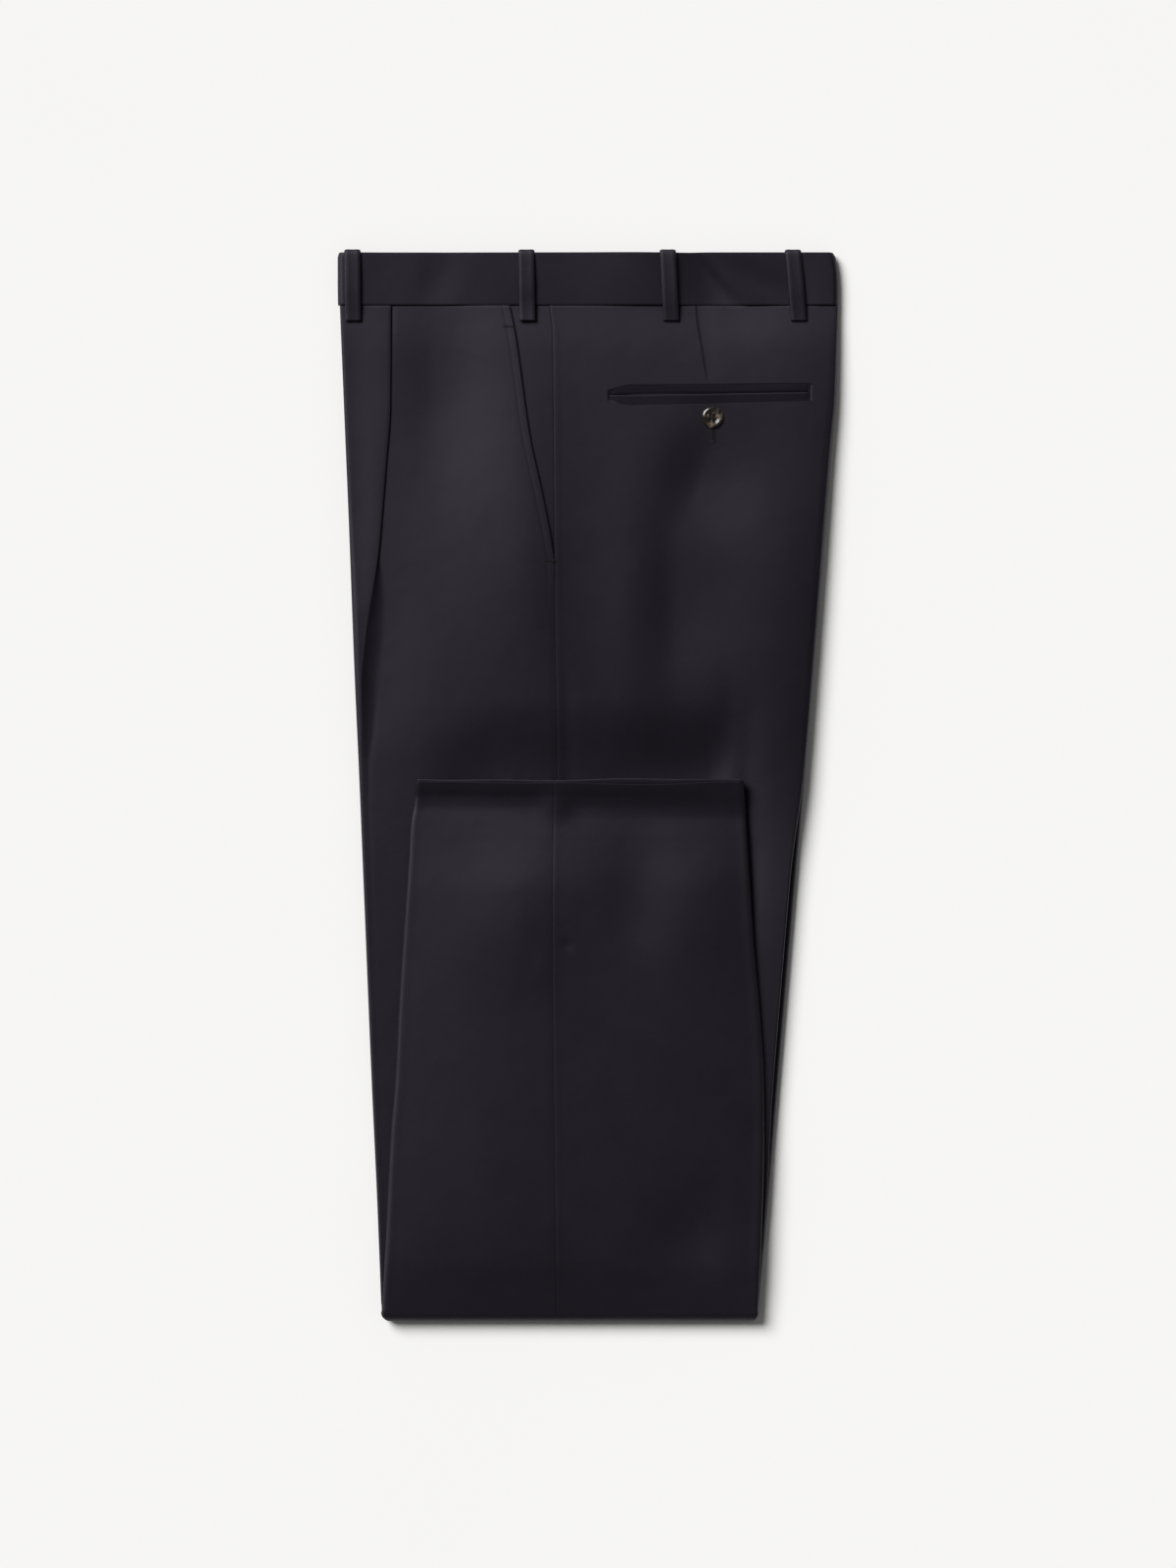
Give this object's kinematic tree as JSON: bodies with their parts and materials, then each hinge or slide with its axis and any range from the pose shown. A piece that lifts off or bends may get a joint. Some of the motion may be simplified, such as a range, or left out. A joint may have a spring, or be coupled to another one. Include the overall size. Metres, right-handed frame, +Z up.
{
  "type": "folded dress uniform trousers",
  "caption": "Pleated dark wool uniform trousers, pressed on their creases, lying flat on one side and folded over at the knee.",
  "frame": {"origin": "on the surface that the trousers lie on, under the middle of the folded garment", "axes": "+Y towards the waist, +X from the front crease to the back, +Z up from the surface"},
  "size_m": [0.3483, 0.7445, 0.025],
  "materials": {
    "wool_cloth": "dark navy-charcoal worsted wool twill, matt with a faint sheen",
    "horn_button": "mottled brown horn, satin gloss",
    "sewing_thread": "dark thread of the buttonhole, tacks and pick stitches"
  },
  "bodies": {
    "root": {"left_front": "wool_cloth", "left_back": "wool_cloth", "left_pocket_facing": "wool_cloth", "right_front": "wool_cloth", "right_back": "wool_cloth", "hidden_layers": "wool_cloth", "waistband_left": "wool_cloth", "waistband_right": "wool_cloth", "belt_loop_1": "wool_cloth", "belt_loop_2": "wool_cloth", "belt_loop_3": "wool_cloth", "belt_loop_4": "wool_cloth", "back_pocket_welt_upper": "wool_cloth", "back_pocket_welt_lower": "wool_cloth", "back_pocket_button": "horn_button"}
  },
  "joints": []
}
